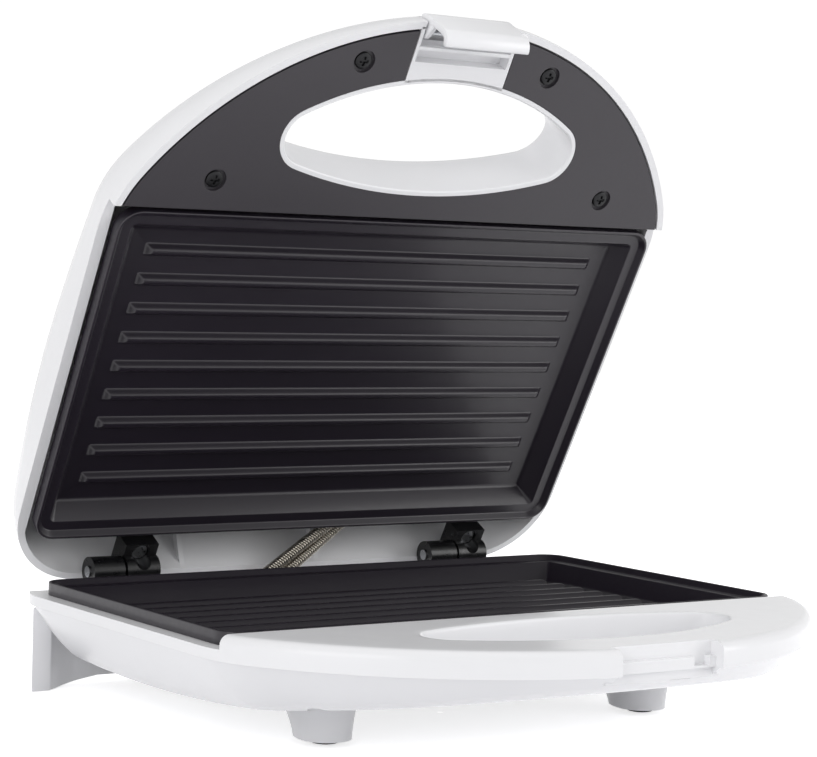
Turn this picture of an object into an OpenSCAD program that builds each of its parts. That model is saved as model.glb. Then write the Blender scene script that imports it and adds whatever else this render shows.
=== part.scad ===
// Sandwich toaster: two ribbed plates in a D-shaped body with a hinged lid and a flip latch.
// Millimetres. +Z is up, -Y is the handle, the part stands on z = 0 with the lid open.

/* [Body] */
// Width across the lid and the base
body_w = 230; // [206:1:252]
// Reach of both shells behind the plates' hinge edge
tail_reach = 21.5; // [20:0.5:22]
// Radius that joins the nose to the straight sides
shoulder_r = 46; // [34:1:50]
// Radius of the two hinge-side corners, seen from above
tail_r = 30; // [27:0.5:33]
// Height of the plates' rims above the table
rim_h = 40; // [38:0.5:46]
// Thickness of the moulded walls
wall = 2.5; // [2:0.1:3]
// Distance from the part's origin back to the plates' hinge edge
origin_set = 83.4; // [60:0.1:110]

/* [Lid] */
// Angle of the lid in the rest pose, measured from closed
open_deg = 60.9; // [45:0.1:75]
// Height of the lid's crown above the rims
crown_h = 35; // [33:0.5:40]
// Height of the lid's nose above the rims
nose_h = 9.6; // [8:0.1:11]
// Extra height of the crown along its middle
crown_rise = 2.5; // [1:0.5:4]
// Gap between the rims when the lid is closed
closed_gap = 0.4; // [0.3:0.1:0.8]

/* [Base] */
// Height of the upper band of the base
band_h = 8; // [7:0.5:9]
// Depth of the belly below the rims at its lowest line
belly_d = 29; // [28:0.5:31]
// Radius of the belly's curve from hinge to nose
belly_r = 715; // [600:5:900]
// Set-back of the belly under the band
belly_set = 1.2; // [0.8:0.1:2]
// Width of the belly's rounded edge, seen from above
belly_edge = 21; // [16:0.5:23]
// Height of the step from the side wall up to the handle deck
deck_step = 4.5; // [4:0.1:5]
// Radius on the deck's upper edge
deck_edge_r = 3.2; // [2:0.2:4]

/* [Handle opening] */
// Width of the handle's grip in front of the opening
grip_w = 22.9; // [20:0.1:26]
// Depth of the opening at its middle
opening_d = 40.7; // [36:0.1:46]
// Depth of the deck between the plates and the opening
deck_w = 12.5; // [11:0.1:15]
// Radius of the opening's edge beside the plate
opening_back_r = 180; // [150:5:220]
// Radius of the opening's two ends
opening_end_r = 10; // [8:0.1:12]

/* [Plates] */
// Depth of a plate over its rim
rim_d = 129.4; // [116:0.2:142]
// Distance from a plate's side to the side of the body
side_w = 5; // [4.6:0.1:6]
// Corner radius of the rim
rim_corner_r = 8; // [6:0.5:9]
// Depth of the cooking floor below the rim
floor_d = 9.2; // [8:0.2:10]
// Thickness of the cast plates
plate_t = 2.4; // [2:0.1:2.8]
// Number of ribs
rib_count = 9; // [5:1:10]
// Distance between ribs
rib_pitch = 11.4; // [10:0.1:12]
// Distance from a rib's end to the side of the plate
rib_set = 17; // [14:0.5:30]
// Width of a rib at its foot
rib_w = 4.4; // [3:0.1:5]
// Height of a rib
rib_h = 2.2; // [1.5:0.1:3]

/* [Hinges] */
// Distance of the hinge axis behind the plates' hinge edge
hinge_back = 14.4; // [13.5:0.1:15]
// Distance of each hinge from the side of the body
hinge_set = 43.2; // [40:0.1:55]
// Length of one hinge along its axis
hinge_len = 26; // [22:0.5:28]
// Outer radius of the knuckles
knuckle_r = 5.2; // [4.6:0.1:5.4]
// Radius of the hinge pins
pin_r = 2; // [1.5:0.1:2.5]
// Radial clearance of the pins
pin_clear = 0.05; // [0.03:0.01:0.08]

/* [Latch] */
// Length of the latch
latch_len = 36; // [30:1:37]
// Thickness of the latch
latch_t = 2.2; // [1.8:0.1:2.4]
// Drop of the latch below the rims
latch_drop = 12.9; // [12.6:0.1:13.4]
// Width of the recess that the latch sits in
latch_slot_w = 39; // [38.5:0.5:42]

/* [Feet] */
// Distance of each front foot from the middle
foot_x = 64; // [58:1:70]
// Distance of the front feet in front of the plates' hinge edge
foot_y = 112; // [104:1:118]
// Radius of a rubber pad
pad_r = 6.8; // [5:0.2:7.5]
// Height of a rubber pad below its foot
pad_h = 1.6; // [1.2:0.1:2.5]
// Thickness of the rear stand
stand_t = 4; // [3:0.1:5]

/* [Screws] */
// Shank radius of the self-tapping screws
screw_r = 1.5; // [1.2:0.1:1.7]
// Head radius of the screws
head_r = 3; // [2.6:0.1:3.4]
// Outer radius of the screw bosses
boss_r = 3.8; // [3.4:0.1:4.2]

/* [Hidden] */
$fn = 48;

// ---- outline of the body, seen from above: [x, y, normal x, normal y] ----
half_w = body_w / 2;
rim_w = body_w - 2 * side_w;
rib_len = rim_w - 2 * rib_set;
hinge_x = half_w - hinge_set;
nose_r = 0.548 * body_w;
opening_y = rim_d + deck_w;
nose_reach = opening_y + opening_d + grip_w;
nose_cy = nose_r - nose_reach;
shoulder_x = half_w - shoulder_r;
shoulder_cy = nose_cy - sqrt(pow(nose_r - shoulder_r, 2) - pow(shoulder_x, 2));
shoulder_a = atan2(shoulder_cy - nose_cy, shoulder_x);
tail_cx = half_w - tail_r;
tail_cy = tail_reach - tail_r;
side_steps = 6;

function arc(cx, cy, r, a0, a1, n) =
    [for (i = [0 : n - 1]) let (a = a0 + (a1 - a0) * i / n)
        [cx + r * cos(a), cy + r * sin(a), cos(a), sin(a)]];
half_outline = concat(
    arc(0, nose_cy, nose_r, -90, shoulder_a, 11),
    arc(shoulder_x, shoulder_cy, shoulder_r, shoulder_a, 0, 6),
    [for (i = [0 : side_steps - 1])
        [half_w, shoulder_cy + (tail_cy - shoulder_cy) * i / side_steps, 1, 0]],
    arc(tail_cx, tail_cy, tail_r, 0, 90, 7),
    [for (i = [0 : 2]) [tail_cx * (1 - i / 3), tail_reach, 0, 1]],
    [[0, tail_reach, 0, 1]]);
outline = concat(half_outline, [for (i = [len(half_outline) - 2 : -1 : 1])
    let (p = half_outline[i]) [-p[0], p[1], -p[2], p[3]]]);

function inset(p, d) = [p[0] - p[2] * d, p[1] - p[3] * d];
function mix(a, b, t) = a + (b - a) * t;
function clamp01(t) = min(1, max(0, t));
function put(p, z) = [p[0], p[1], z];

// ---- outline of the handle opening: two arcs joined by round ends ----
front_arc_r = nose_r - grip_w;
back_cy = -opening_y - opening_back_r;
end_cy = (pow(nose_cy, 2) - pow(back_cy, 2)
    - pow(front_arc_r - opening_end_r, 2) + pow(opening_back_r - opening_end_r, 2))
    / (2 * (nose_cy - back_cy));
end_cx = sqrt(pow(front_arc_r - opening_end_r, 2) - pow(end_cy - nose_cy, 2));
opening_cy = -opening_y - opening_d / 2;

function unit(v) = v / norm(v);
function ray_out(u, c, r) = let (w = c - [0, opening_cy], b = w * u) b + sqrt(b * b - w * w + r * r);
function touch(c, grow) = let (e = [end_cx, end_cy]) e + (opening_end_r + grow) * unit(e - c);
function rise(p) = atan2(p[1] - opening_cy, abs(p[0]));
// point of the opening's outline, grown by grow, on the way from its middle to p
function opening_pt(p, grow) =
    let (u = unit([p[0], p[1] - opening_cy]),
         a = rise(p),
         a_front = rise(touch([0, nose_cy], grow)),
         a_back = rise(touch([0, back_cy], grow)),
         side = p[0] < 0 ? -1 : 1,
         r = a < a_front ? ray_out(u, [0, nose_cy], front_arc_r + grow)
           : a > a_back ? ray_out(u, [0, back_cy], opening_back_r + grow)
           : ray_out(u, [side * end_cx, end_cy], opening_end_r + grow))
    [0, opening_cy] + u * r;

module outline_2d(d) { polygon([for (p = outline) inset(p, d)]); }
module opening_2d(grow) { polygon([for (a = [0 : 5 : 355]) opening_pt([cos(a), opening_cy + sin(a)], grow)]); }

// ---- skins through rings of points ----
function back_to_front(v) = [for (i = [len(v) - 1 : -1 : 0]) v[i]];
function ring_faces(m, n) = [for (j = [0 : m - 1], i = [0 : n - 1])
    let (a = j * n + i, b = j * n + (i + 1) % n, c = b + n, d = a + n) each [[a, c, b], [a, d, c]]];
module skin_capped(rings) {
    n = len(rings[0]);
    m = len(rings);
    polyhedron([for (r = rings) each r],
        concat(ring_faces(m - 1, n), [[for (i = [0 : n - 1]) i]],
            [[for (i = [n - 1 : -1 : 0]) (m - 1) * n + i]]));
}
module skin_looped(rings) {
    n = len(rings[0]);
    m = len(rings);
    polyhedron([for (r = rings) each r],
        concat(ring_faces(m - 1, n), [for (i = [0 : n - 1])
            let (a = (m - 1) * n + i, b = (m - 1) * n + (i + 1) % n, c = (i + 1) % n) each
                [[a, c, b], [a, i, c]]]));
}

// ---- places ----
module on_base() { translate([0, origin_set, rim_h]) children(); }
module on_lid() {
    on_base() translate([0, hinge_back, 0]) rotate([-open_deg, 0, 0])
        translate([0, -hinge_back, closed_gap]) children();
}
module both_sides() { children(); mirror([1, 0, 0]) children(); }

// ---- shared values ----
opening_wall = 1.8;
opening_edge_r = 1;
deck_gap = 1.6;                   // deck and trim keep this far from the plates' front skirts
deck_back = -rim_d - deck_gap;
far = 40;                         // length of the cuts that run out into the open
under_z = floor_d + plate_t;      // underside of a plate, from its rim
seat = 0.1;
fit = 0.05;
pivot = [-nose_reach + 5.7, 1.7]; // latch pivot [y, z], in the lid
latch_r = 6;
latch_hw = latch_len / 2;
slot_hw = latch_slot_w / 2;
ledge_y = -nose_reach + 5;        // outer face of the ledge that the latch hooks under

function in_shoulder(x, y) = atan2(y - nose_cy, x) > shoulder_a;
// distance from the outline to a point inside it
function edge_in(px, y) = let (x = abs(px))
    y < shoulder_cy ? (in_shoulder(x, y) ? shoulder_r - norm([x - shoulder_x, y - shoulder_cy])
                                         : nose_r - norm([x, y - nose_cy]))
    : (y > tail_cy && x > tail_cx) ? tail_r - norm([x - tail_cx, y - tail_cy])
    : min(half_w - x, tail_reach - y);

// ---- belly of the base ----
belly_mid = -50;
nose_edge = 14;                   // width of the belly's rounding at the nose
function belly_z(y) = -belly_d + pow(y - belly_mid, 2) / (2 * belly_r);
function belly_w(y) = mix(belly_edge, nose_edge, clamp01((-y - nose_reach + 55) / 40));
// point of the belly's side: i runs from 0 at the band to 1 at the flat of the belly
function belly_pt(p, i, t) = let (q = inset(p, mix(belly_set, belly_w(p[1]), i) + t))
    put(q, -band_h + (belly_z(q[1]) + band_h + t) * sin(90 * i));
function belly_at(x, y) = -band_h + (belly_z(y) + band_h)
    * sin(90 * clamp01((edge_in(x, y) - belly_set) / (belly_w(y) - belly_set)));
function belly_flat(p, s, grow, t) =
    let (a = inset(p, belly_w(p[1]) + t), b = opening_pt(p, grow),
         q = [mix(a[0], b[0], s), mix(a[1], b[1], s)]) put(q, belly_z(q[1]) + t);

// ---- crown of the lid ----
crown_y = -45;                    // the crown is highest here
crown_drop = 11;                  // and this much lower at the tail
nose_edge_r = 5;
side_edge_r = 14;
tail_edge_r = 20;
lip_step = 4.5;                   // the lid's lip is this much higher beside the plate
function crown_t(y) = min(1, (y + nose_reach) / (crown_y + nose_reach));
function crown_h_at(x, y) = let (t = crown_t(y), b = max(0, (y - crown_y) / (tail_reach - crown_y)))
    nose_h + (crown_h - nose_h) * t * (1.3 + 0.4 * t - 0.7 * t * t) - crown_drop * b * b
    + crown_rise * (1 - pow(x / half_w, 2)) * t;
function crown_edge(y) = y < shoulder_cy
    ? mix(nose_edge_r, side_edge_r, clamp01((y + nose_reach) / (shoulder_cy + nose_reach)))
    : mix(side_edge_r, tail_edge_r, pow(clamp01((y - shoulder_cy) / (tail_cy - shoulder_cy)), 4));
// point of the lid's side: a runs from 0 at the lip to 90 at the crown
function crown_pt(p, a, t) =
    let (r = crown_edge(p[1]), q = inset(p, t + (r - t / 2) * (1 - cos(a))))
    put(q, (crown_h_at(q[0], q[1]) - t) * sin(a));
function crown_top(p, s, grow, t) =
    let (a = inset(p, crown_edge(p[1]) + t / 2), b = opening_pt(p, grow),
         q = [mix(a[0], b[0], s), mix(a[1], b[1], s)]) put(q, crown_h_at(q[0], q[1]) - t);
function crown_at(x, y) = let (r = crown_edge(y), d = edge_in(x, y))
    crown_h_at(x, y) * (d < r ? sqrt(1 - pow(1 - d / r, 2)) : 1);

// ---- base frame: deck, band, ledge for the plate and shelf for the hinges ----
ledge_in = 2.4;                   // a plate's ledge reaches in under the skirt by this
shelf_t = 2.5;
shelf_top = -band_h;
shelf_in = wall + belly_set + 2.2;
shelf_cut_y = 6;                  // the band is lowered behind this line to clear the lid
recess_d = 4.5;                   // depth of the latch recess in the deck
recess_y = ledge_y + 2.5;
side_slot = [10.9, 16.9];         // deeper slot at the recess's right end
base_screw_at = [[half_w - 29, -rim_d - 13.6], [half_w - 23, 8]];
conduit_r = 2.2;
conduit_ends = [[[-24.5, 11, -10.2], [29.5, 19, 20.5]], [[-14, 12.4, -10.2], [36.5, 23, 20.5]]];

frame_rings = concat(
    [[for (p = outline) put(p, -band_h)]],
    [for (a = [0, 30, 60, 90])
        [for (p = outline) put(inset(p, deck_edge_r * (1 - cos(a))), -deck_edge_r * (1 - sin(a)))]],
    [[for (p = outline) put(opening_pt(p, opening_edge_r), 0)],
     [for (p = outline) put(opening_pt(p, 0), -opening_edge_r)],
     [for (p = outline) put(opening_pt(p, 0), -band_h)]]);

module plate_opening(h) {
    w = rim_w - 2 * ledge_in;
    d = rim_d - 2 * ledge_in;
    r = rim_corner_r - ledge_in;
    translate([0, -rim_d / 2, 0]) linear_extrude(h, center = true) {
        square([w - 2 * r, d], center = true);
        square([w, d - 2 * r], center = true);
        for (x = [-1, 1], y = [-1, 1])
            translate([x * (w / 2 - r), y * (d / 2 - r)]) circle(r);
    }
}
// everything over the plate's ledge
module over_ledge(z0) {
    translate([-body_w, deck_back, z0]) cube([2 * body_w, 2 * rim_d, far]);
}
module conduit(i, grow) {
    a = conduit_ends[i][0];
    v = conduit_ends[i][1] - a;
    translate(a) rotate([0, acos(v[2] / norm(v)), atan2(v[1], v[0])]) translate([0, 0, -grow])
        cylinder(h = norm(v) + grow, r = conduit_r + grow);
}
module base_frame() {
    color("#f1f1f3") on_base() difference() {
        union() {
            difference() {
                skin_looped(frame_rings);
                over_ledge(-deck_step);
                translate([-body_w, shelf_cut_y, -2 * band_h]) cube([2 * body_w, far, far]);
                // hollow under the deck
                translate([0, 0, -band_h - 1]) linear_extrude(band_h + 1 - wall) difference() {
                    intersection() {
                        outline_2d(wall + 0.6);
                        translate([-half_w, deck_back - wall - 2 * nose_reach]) square([body_w, 2 * nose_reach]);
                    }
                    opening_2d(opening_wall);
                    translate([-slot_hw - wall, -nose_reach])
                        square([latch_slot_w + 2 * wall, recess_y + nose_reach + wall]);
                }
            }
            // shelf behind the plate, and its step up to the plate's ledge
            translate([0, 0, shelf_top - shelf_t]) linear_extrude(shelf_t) intersection() {
                outline_2d(shelf_in);
                translate([-half_w, 0]) square([body_w, tail_reach]);
            }
            translate([0, 0, shelf_top - shelf_t + 0.4]) linear_extrude(shelf_t + 0.5) intersection() {
                outline_2d(shelf_in + 0.4);
                translate([-half_w, 0]) square([body_w, shelf_cut_y - 0.4]);
            }
            both_sides() {
                translate([base_screw_at[0][0], base_screw_at[0][1], -band_h - 4]) cylinder(h = band_h + 3, r = boss_r);
                translate([base_screw_at[1][0], base_screw_at[1][1], -band_h - 4]) cylinder(h = 3, r = boss_r);
            }
        }
        plate_opening(60);
        // recess that takes the latch
        translate([-slot_hw, recess_y - 20, -recess_d]) cube([latch_slot_w, 20, 20]);
        translate([-slot_hw, ledge_y - 20, -band_h - 1]) cube([latch_slot_w, 20, 20]);
        translate([side_slot[0], recess_y - 20, -band_h + 0.7]) cube([side_slot[1] - side_slot[0], 20, 20]);
        both_sides() for (p = base_screw_at)
            translate([p[0], p[1], -band_h - 5]) cylinder(h = 9.5, r = screw_r + fit);
        for (x = hinge_mid) translate([x + bracket_dx, bracket_screw_y, shelf_top - shelf_t - 1])
            cylinder(h = shelf_t + 2, r = screw_r + fit);
        hull() for (i = [0, 1]) intersection() {
            conduit(i, 0.5);
            translate([-body_w / 2, 0, shelf_top - 6]) cube([body_w, 2 * tail_reach, 8]);
        }
    }
}

// ---- base tub: the belly, its stand and feet ----
foot_r = 8.6;
foot_flare = 17;                  // the foot's web runs back this far under the belly
stand_in = belly_set + 1.3;
stand_y = 8;                      // the stand wraps round the corners from here
stand_top = -11;
arch = [[98, 0], [80, 2.8]];      // arch of the stand's lower edge: [x, height over the table]
gland_r = 4.5;
gland_at = [60, -16];
pillar_r = 4.5;
plate_screw_at = [[rim_w / 2 - 30, -20], [rim_w / 2 - 30, 19.4 - rim_d]];
pillar_z = -under_z - 4.4;        // where the plate's bosses meet the tub's pillars
hook_pocket = [3, 11];

tub_path = concat(
    [for (i = [0 : 5]) [for (p = outline) belly_pt(p, i / 5, 0)]],
    [for (s = [0.25 : 0.25 : 0.75]) [for (p = outline) belly_flat(p, s, 1, 0)]],
    [[for (p = outline) belly_flat(p, 1, 1, 0)],
     [for (p = outline) let (q = opening_pt(p, 0)) put(q, belly_z(q[1]) + 1.2)],
     [for (p = outline) put(opening_pt(p, 0), -band_h)],
     [for (p = outline) put(opening_pt(p, opening_wall), -band_h)]],
    [for (s = [1 : -0.25 : 0.25]) [for (p = outline) belly_flat(p, s, opening_wall, wall)]],
    [for (i = [5 : -1 : 0]) [for (p = outline) belly_pt(p, i / 5, wall)]]);
tub_rings = back_to_front(tub_path);

module stand() {
    difference() {
        translate([0, 0, -rim_h]) linear_extrude(rim_h + stand_top) intersection() {
            difference() {
                outline_2d(stand_in);
                outline_2d(stand_in + stand_t);
            }
            translate([-body_w, stand_y]) square([2 * body_w, tail_reach]);
        }
        translate([0, tail_reach, -rim_h]) rotate([90, 0, 0]) linear_extrude(tail_reach + 20)
            polygon([arch[0], arch[1], [-arch[1][0], arch[1][1]], [-arch[0][0], arch[0][1]],
                [-arch[0][0], -1], [arch[0][0], -1]]);
    }
}
module foot() {
    translate([foot_x, -foot_y, 0]) hull() {
        translate([0, 0, -rim_h + pad_h]) cylinder(h = 1, r = foot_r, $fn = 32);
        translate([0, 1.5, belly_at(foot_x, -foot_y) + 0.5]) cylinder(h = 1, r = foot_r + 2, $fn = 32);
        translate([0, foot_flare, belly_at(foot_x, foot_flare - foot_y) + 0.5])
            cylinder(h = 1, r = foot_r - 3, $fn = 32);
    }
}
module base_tub() {
    color("#eeeef0") on_base() difference() {
        union() {
            skin_looped(tub_rings);
            stand();
            both_sides() {
                foot();
                for (p = base_screw_at) {
                    z = belly_at(p[0], p[1]) + 1;
                    translate([p[0], p[1], z]) cylinder(h = -band_h - 4 - z, r = boss_r);
                }
                for (p = plate_screw_at) {
                    z = belly_at(p[0], p[1]) + 1;
                    translate([p[0], p[1], z]) cylinder(h = pillar_z - z, r = pillar_r);
                }
            }
            translate([-slot_hw - wall, ledge_y + 1.8, belly_at(0, ledge_y + 1.8) + 0.3])
                cube([latch_slot_w + 2 * wall, wall, -band_h - belly_at(0, ledge_y + 1.8) - 0.3]);
        }
        // room for the latch, and the pocket for its hook
        translate([-slot_hw, ledge_y + 1.8 - 20, -band_h - 20]) cube([latch_slot_w, 20, 30]);
        translate([hook_pocket[0], ledge_y, -band_h - 3.2])
            cube([hook_pocket[1] - hook_pocket[0], 3.2, 3.3]);
        both_sides() {
            for (p = base_screw_at) {
                translate([p[0], p[1], -rim_h]) cylinder(h = rim_h, r = screw_r + fit);
                translate([p[0], p[1], -rim_h]) cylinder(h = rim_h + belly_at(p[0], p[1]) + 4, r = head_r + 0.5);
            }
            for (p = plate_screw_at) {
                translate([p[0], p[1], -rim_h]) cylinder(h = rim_h, r = screw_r + fit);
                translate([p[0], p[1], -rim_h]) cylinder(h = rim_h + belly_at(p[0], p[1]) + 4, r = head_r + 0.5);
            }
        }
        translate([gland_at[0], 0, gland_at[1]]) rotate([-90, 0, 0]) cylinder(h = 2 * tail_reach, r = gland_r + fit);
    }
}
module foot_pads() {
    color("#141414") on_base() both_sides() translate([foot_x, -foot_y, -rim_h]) cylinder(h = pad_h, r = pad_r);
}
// screw standing on its head: the head's seat is at z = 0 and the shaft points up
module screw(len) {
    cylinder(h = len, r = screw_r);
    translate([0, 0, -1.4]) cylinder(h = 1.4, r = head_r);
}
module tub_screws() {
    color("#8a8c90") on_base() both_sides() for (p = base_screw_at) {
        z = belly_at(p[0], p[1]) + 4;
        translate([p[0], p[1], z]) screw(-band_h + 3 - z);
    }
}
module plate_screws() {
    color("#8a8c90") on_base() both_sides() for (p = plate_screw_at) {
        z = belly_at(p[0], p[1]) + 4;
        translate([p[0], p[1], z]) screw(-under_z - 0.3 - z);
    }
}
module cord_gland() {
    color("#e9e9ec") on_base() translate([gland_at[0], 0, gland_at[1]]) rotate([-90, 0, 0]) difference() {
        union() {
            translate([0, 0, 6]) cylinder(h = tail_reach - stand_in - 6, r = gland_r);
            translate([0, 0, tail_reach - stand_in]) cylinder(h = 1.6, r = gland_r + 2);
        }
        translate([0, 0, 5]) cylinder(h = tail_reach, r = 3.2);
    }
}

// ---- cooking plates ----
rib_top_w = 2;
rib_first = 19.5;
element_r = 3.25;
element_z = -under_z - seat - element_r;
element_x = rim_w / 2 - 38;
element_y = [24.4 - rim_d, -25];
element_bend = 18;
element_gap = [16, 10];           // from the plate's middle to the sheath's end and to the terminal's end
pan_t = 0.8;
pan_z = -under_z - 8.4;           // floor of the reflector pan
pan_x = rim_w / 2 - 18;
pan_y = [11.4 - rim_d, -12];
pan_screw_x = 50;
plate_boss_r = 4;

function rect_ring(d, z) = let (w = rim_w / 2 - d, h = rim_d / 2 - d, r = max(rim_corner_r - d, 0.4))
    [for (c = [[1, -1, -90], [1, 1, 0], [-1, 1, 90], [-1, -1, 180]], k = [0 : 4])
        [c[0] * (w - r) + r * cos(c[2] + 22.5 * k), -rim_d / 2 + c[1] * (h - r) + r * sin(c[2] + 22.5 * k), z]];
plate_path = [
    rect_ring(10.4, -floor_d), rect_ring(6.3, -2.6), rect_ring(5.8, -2.2), rect_ring(2.4, -2.2),
    rect_ring(1.9, -2), rect_ring(0.9, -0.2), rect_ring(0.6, 0), rect_ring(0.2, 0), rect_ring(0, -0.2),
    rect_ring(0, -deck_step), rect_ring(1.8, -deck_step), rect_ring(2.4, 0.3 - deck_step),
    rect_ring(5, 0.3 - deck_step), rect_ring(9, -under_z)];
plate_rings = back_to_front(plate_path);
module rib() {
    l = rib_len / 2;
    w = rib_w / 2;
    t = rib_top_w / 2;
    k = rib_len / 2 - 2.4;
    polyhedron(
        [[-l, -w, 0], [l, -w, 0], [l, w, 0], [-l, w, 0],
         [-k, -t, rib_h], [k, -t, rib_h], [k, t, rib_h], [-k, t, rib_h]],
        [[0, 1, 2, 3], [7, 6, 5, 4], [0, 4, 5, 1], [1, 5, 6, 2], [2, 6, 7, 3], [3, 7, 4, 0]]);
}
module cooking_plate() {
    difference() {
        union() {
            skin_capped(plate_rings);
            for (k = [0 : rib_count - 1])
                translate([0, -rib_first - k * rib_pitch, -floor_d - 0.3]) rib();
            for (p = plate_screw_at, s = [-1, 1])
                translate([s * p[0], p[1], pillar_z]) cylinder(h = -under_z - pillar_z + 0.5, r = plate_boss_r);
            for (s = [-1, 1]) translate([s * pan_screw_x, -rim_d / 2, pan_z])
                cylinder(h = -under_z - pan_z + 0.5, r = plate_boss_r);
        }
        for (p = plate_screw_at, s = [-1, 1])
            translate([s * p[0], p[1], pillar_z - 1]) cylinder(h = -under_z - pillar_z + 1, r = screw_r + fit);
        for (s = [-1, 1]) translate([s * pan_screw_x, -rim_d / 2, pan_z - 1])
            cylinder(h = -under_z - pan_z + 1, r = screw_r + fit);
    }
}
module bend(x, y, a) {
    translate([x, y, element_z]) rotate([0, 0, a]) rotate_extrude(angle = 90)
        translate([element_bend, 0]) circle(element_r);
}
module heating_element() {
    x = element_x - element_bend;
    y0 = element_y[0] + element_bend;
    y1 = element_y[1] - element_bend;
    translate([-x, element_y[0], element_z]) rotate([0, 90, 0]) cylinder(h = 2 * x, r = element_r);
    for (s = [-1, 1]) {
        translate([s * element_x, y0, element_z]) rotate([-90, 0, 0]) cylinder(h = y1 - y0, r = element_r);
        translate([s * x, element_y[1], element_z]) rotate([0, -s * 90, 0]) {
            cylinder(h = x - element_gap[0], r = element_r);
            cylinder(h = x - element_gap[1], r = 1.6);
        }
    }
    bend(x, y1, 0);
    bend(-x, y1, 90);
    bend(-x, y0, 180);
    bend(x, y0, 270);
}
module reflector_pan() {
    difference() {
        translate([-pan_x, pan_y[0], pan_z - pan_t])
            cube([2 * pan_x, pan_y[1] - pan_y[0], -under_z - 0.3 - pan_z + pan_t]);
        translate([-pan_x + pan_t, pan_y[0] + pan_t, pan_z])
            cube([2 * (pan_x - pan_t), pan_y[1] - pan_y[0] - 2 * pan_t, 20]);
        for (p = plate_screw_at, s = [-1, 1])
            translate([s * p[0], p[1], pan_z - 2]) cylinder(h = 4, r = pillar_r + 0.6);
        for (s = [-1, 1]) translate([s * pan_screw_x, -rim_d / 2, pan_z - 2]) cylinder(h = 4, r = screw_r + 0.1);
    }
}
module reflector_screw_set() {
    for (s = [-1, 1]) translate([s * pan_screw_x, -rim_d / 2, pan_z - pan_t]) screw(-under_z - 0.5 - pan_z + pan_t);
}
module lower_plate() { color("#232226") on_base() cooking_plate(); }
module lower_element() { color("#6f7073") on_base() heating_element(); }
module lower_reflector() { color("#c2c4c7") on_base() reflector_pan(); }
module lower_reflector_screws() { color("#8a8c90") on_base() reflector_screw_set(); }
module upper_plate() { color("#232226") on_lid() mirror([0, 0, 1]) cooking_plate(); }
module upper_element() { color("#6f7073") on_lid() mirror([0, 0, 1]) heating_element(); }
module upper_reflector() { color("#c2c4c7") on_lid() mirror([0, 0, 1]) reflector_pan(); }
module upper_reflector_screws() { color("#8a8c90") on_lid() mirror([0, 0, 1]) reflector_screw_set(); }

// ---- parts inside the base ----
module thermostat() {
    color("#d8d3c4") on_base() translate([0, -50, 0]) {
        translate([0, 0, -under_z - seat - 2]) cylinder(h = 2, r = 8);
        translate([0, 0, pan_z + seat]) cylinder(h = -under_z - seat - 1.5 - pan_z - seat, r = 6.6);
    }
}
module thermal_fuse() {
    color("#b9bcc0") on_base() translate([-6, -78, pan_z + seat + 2]) rotate([0, 90, 0]) cylinder(h = 12, r = 2);
}
module terminal_block() {
    color("#e8e6df") on_base() translate([-52, -11.6, belly_z(0) + wall + 0.2]) difference() {
        cube([24, 9, 8]);
        for (x = [6, 18]) translate([x, 4.5, 3]) cylinder(h = 6, r = 2);
    }
}
module wire_conduit_left() { color("#a9a39a") on_base() conduit(0, 0); }
module wire_conduit_right() { color("#a9a39a") on_base() conduit(1, 0); }

// ---- hinges: a bracket on the shelf and an arm on the lid, side by side on one pin ----
knuckle_gap = 1;
bracket_w = 12;
arm_w = hinge_len - bracket_w - knuckle_gap;
bracket_dx = -hinge_len / 2 + bracket_w / 2;
arm_dx = hinge_len / 2 - arm_w / 2;
bracket_screw_y = hinge_back - 3;
hinge_mid = [-hinge_x, hinge_x];
arm_y = [4.8, hinge_back - 0.9];
arm_z = [1, 9];
arm_screw_y = arm_y[0] + head_r + 0.6;
arm_seat = arm_z[0] + 2.4;

module along_x(x, w, r) { translate([x - w / 2, 0, 0]) rotate([0, 90, 0]) cylinder(h = w, r = r); }
module hinge_bracket(x) {
    difference() {
        union() {
            translate([x + bracket_dx, hinge_back, 0]) along_x(0, bracket_w, knuckle_r);
            translate([x + bracket_dx - bracket_w / 2, hinge_back - 6, shelf_top]) cube([bracket_w, 8, 5]);
        }
        translate([x, hinge_back, 0]) along_x(0, 2 * hinge_len, pin_r + pin_clear);
        translate([x + bracket_dx, bracket_screw_y, shelf_top - 1]) cylinder(h = 4.8, r = screw_r + fit);
    }
}
module hinge_arm(x) {
    difference() {
        union() {
            translate([x + arm_dx, hinge_back, -closed_gap]) along_x(0, arm_w, knuckle_r);
            translate([x + arm_dx - arm_w / 2, arm_y[0], arm_z[0]])
                cube([arm_w, arm_y[1] - arm_y[0] + 2.5, arm_z[1] - arm_z[0]]);
        }
        translate([x, hinge_back, -closed_gap]) along_x(0, 2 * hinge_len, pin_r + pin_clear);
        translate([x + arm_dx, arm_screw_y, arm_z[0] - 1]) cylinder(h = 12, r = screw_r + fit);
        translate([x + arm_dx, arm_screw_y, -2 * knuckle_r]) cylinder(h = 2 * knuckle_r + arm_seat, r = head_r + 0.25);
    }
}
module hinge_bracket_left() { color("#1d1d1f") on_base() hinge_bracket(hinge_mid[0]); }
module hinge_bracket_right() { color("#1d1d1f") on_base() hinge_bracket(hinge_mid[1]); }
module hinge_arm_left() { color("#1d1d1f") on_lid() hinge_arm(hinge_mid[0]); }
module hinge_arm_right() { color("#1d1d1f") on_lid() hinge_arm(hinge_mid[1]); }
module bracket_screws() {
    color("#8a8c90") on_base() for (x = hinge_mid)
        translate([x + bracket_dx, bracket_screw_y, shelf_top - shelf_t]) screw(shelf_t + 3.4);
}
module arm_screws() {
    color("#8a8c90") on_lid() for (x = hinge_mid)
        translate([x + arm_dx, arm_screw_y, arm_seat]) screw(arm_z[1] - arm_seat + 5);
}
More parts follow.
